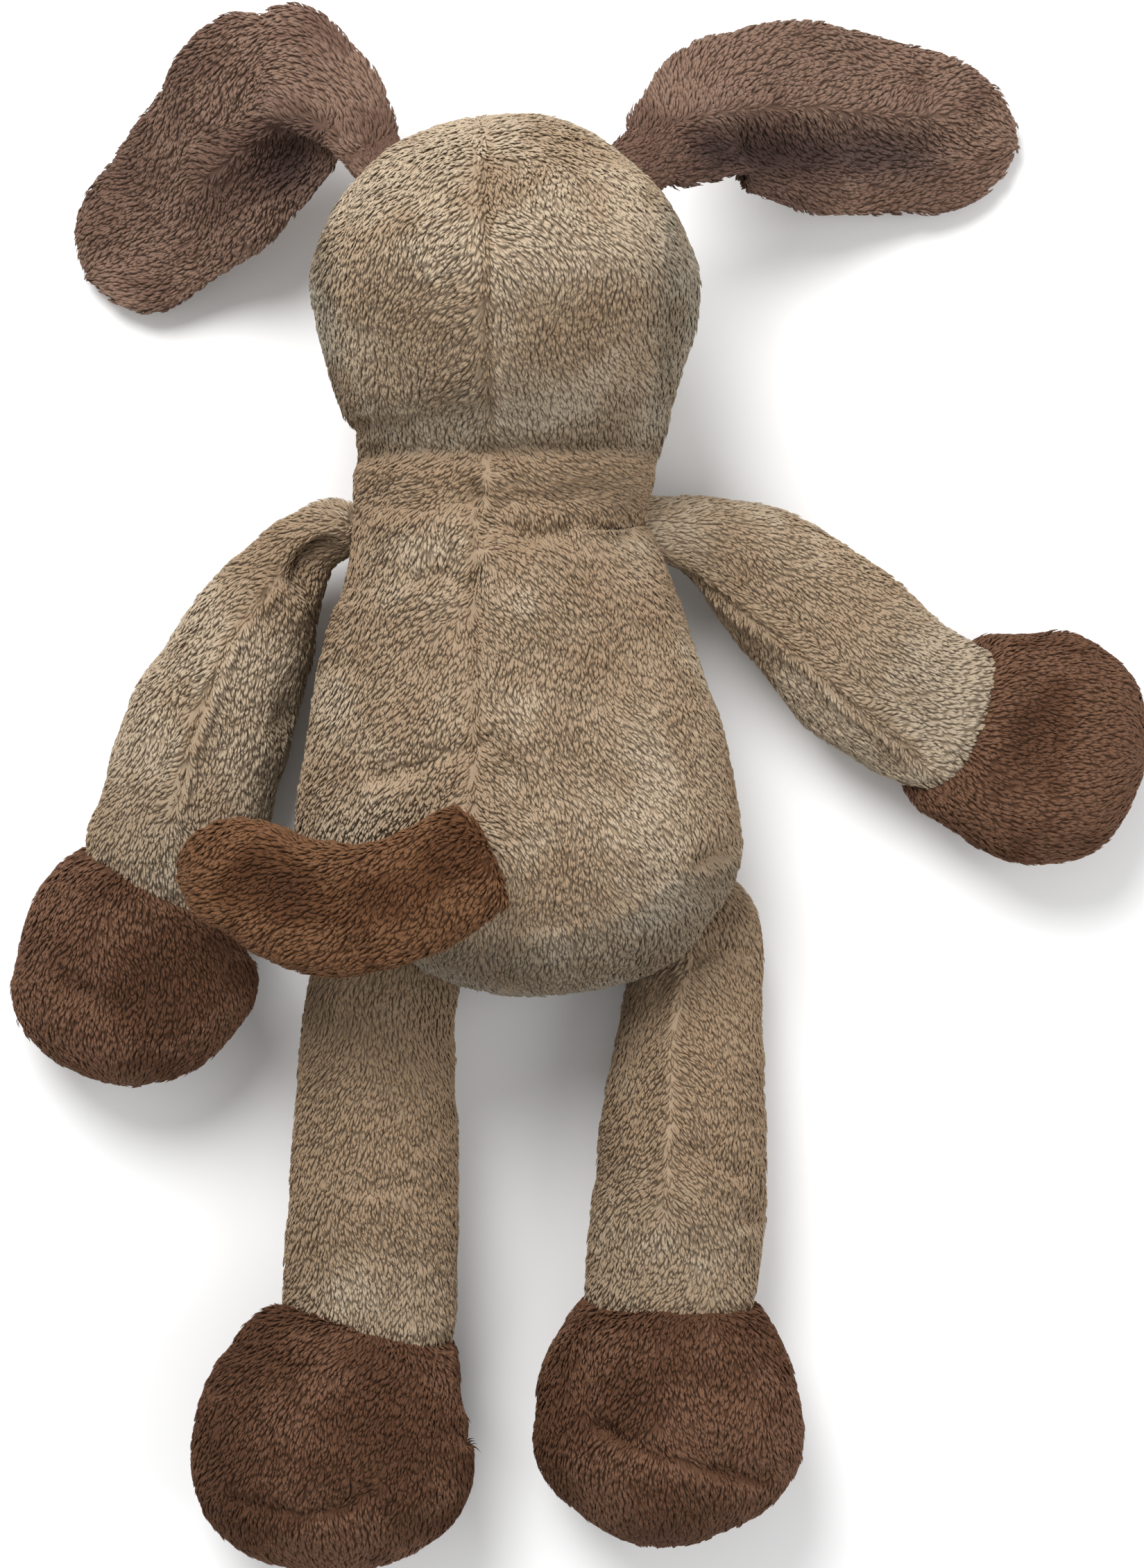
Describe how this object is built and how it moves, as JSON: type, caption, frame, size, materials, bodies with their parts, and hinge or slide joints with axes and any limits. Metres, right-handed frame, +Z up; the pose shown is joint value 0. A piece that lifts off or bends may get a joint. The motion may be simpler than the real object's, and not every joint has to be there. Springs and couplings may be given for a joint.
{
  "type": "plush dog",
  "caption": "Floppy plush dog lying face down, with long brown ears, brown paws and feet, jointed at its soft seams.",
  "frame": {"origin": "on the surface the dog lies on, under the middle of its outline", "axes": "+Z up out of the dog's back, +Y towards the head, +X to the dog's right hand side"},
  "size_m": [0.2632, 0.3576, 0.1005],
  "materials": {
    "beige_plush": "short plush pile",
    "brown_plush": "short plush pile",
    "fibre_filling": "loose polyester fibre",
    "bean_pouch": "woven pouch of plastic pellets",
    "gloss_black": "gloss",
    "white_plastic": "satin"
  },
  "bodies": {
    "torso": {"back_left_panel": "beige_plush", "back_right_panel": "beige_plush", "belly_panel": "beige_plush", "seat_gusset": "beige_plush", "torso_stuffing": "fibre_filling", "seat_bean_bag": "bean_pouch"},
    "head": {"head_left_panel": "beige_plush", "head_right_panel": "beige_plush", "face_left_panel": "beige_plush", "face_right_panel": "beige_plush", "head_stuffing": "fibre_filling", "muzzle_panel": "beige_plush", "muzzle_stuffing": "fibre_filling", "nose": "gloss_black", "left_eye": "gloss_black", "right_eye": "gloss_black", "left_eye_washer": "white_plastic", "right_eye_washer": "white_plastic"},
    "left_ear": {"left_ear_outer_panel": "brown_plush", "left_ear_inner_panel": "brown_plush", "left_ear_wadding": "fibre_filling"},
    "right_ear": {"right_ear_outer_panel": "brown_plush", "right_ear_inner_panel": "brown_plush", "right_ear_wadding": "fibre_filling"},
    "left_arm": {"left_arm_top_panel": "beige_plush", "left_arm_under_panel": "beige_plush", "left_arm_stuffing": "fibre_filling", "left_paw_top_panel": "brown_plush", "left_paw_under_panel": "brown_plush", "left_paw_bean_pouch": "bean_pouch"},
    "right_arm": {"right_arm_top_panel": "beige_plush", "right_arm_under_panel": "beige_plush", "right_arm_stuffing": "fibre_filling", "right_paw_top_panel": "brown_plush", "right_paw_under_panel": "brown_plush", "right_paw_bean_pouch": "bean_pouch"},
    "left_leg": {"left_leg_back_panel": "beige_plush", "left_leg_front_panel": "beige_plush", "left_leg_stuffing": "fibre_filling", "left_foot_heel_panel": "brown_plush", "left_foot_instep_panel": "brown_plush", "left_foot_sole": "brown_plush", "left_foot_bean_pouch": "bean_pouch"},
    "right_leg": {"right_leg_back_panel": "beige_plush", "right_leg_front_panel": "beige_plush", "right_leg_stuffing": "fibre_filling", "right_foot_heel_panel": "brown_plush", "right_foot_instep_panel": "brown_plush", "right_foot_sole": "brown_plush", "right_foot_bean_pouch": "bean_pouch"},
    "tail": {"tail_top_panel": "brown_plush", "tail_under_panel": "brown_plush", "tail_stuffing": "fibre_filling"}
  },
  "joints": [
    {"name": "neck_nod", "type": "hinge", "parent": "torso", "child": "head", "pos_m": [-0.01755, 0.07074, 0.035], "axis": [1, 0, 0], "range_deg": [-15, 15]},
    {"name": "left_ear_flop", "type": "hinge", "parent": "head", "child": "left_ear", "pos_m": [-0.04905, 0.14774, 0.0455], "axis": [0.7071, 0.7071, 0], "range_deg": [0, 90]},
    {"name": "right_ear_flop", "type": "hinge", "parent": "head", "child": "right_ear", "pos_m": [0.01795, 0.14724, 0.0455], "axis": [0.6, -0.8, 0], "range_deg": [0, 90]},
    {"name": "left_arm_swing", "type": "hinge", "parent": "torso", "child": "left_arm", "pos_m": [-0.05855, 0.06074, 0.026], "axis": [0, 0, 1], "range_deg": [-80, 3]},
    {"name": "right_arm_swing", "type": "hinge", "parent": "torso", "child": "right_arm", "pos_m": [0.01795, 0.06174, 0.026], "axis": [0, 0, 1], "range_deg": [-14, 45]},
    {"name": "left_leg_swing", "type": "hinge", "parent": "torso", "child": "left_leg", "pos_m": [-0.04405, -0.03726, 0.004], "axis": [1, 0, 0], "range_deg": [-10, 90]},
    {"name": "right_leg_swing", "type": "hinge", "parent": "torso", "child": "right_leg", "pos_m": [0.02795, -0.03026, 0.004], "axis": [1, 0, 0], "range_deg": [-10, 90]},
    {"name": "tail_lift", "type": "hinge", "parent": "torso", "child": "tail", "pos_m": [-0.01855, -0.01326, 0.077], "axis": [-0.4311, 0.9023, 0], "range_deg": [0, 120]}
  ]
}
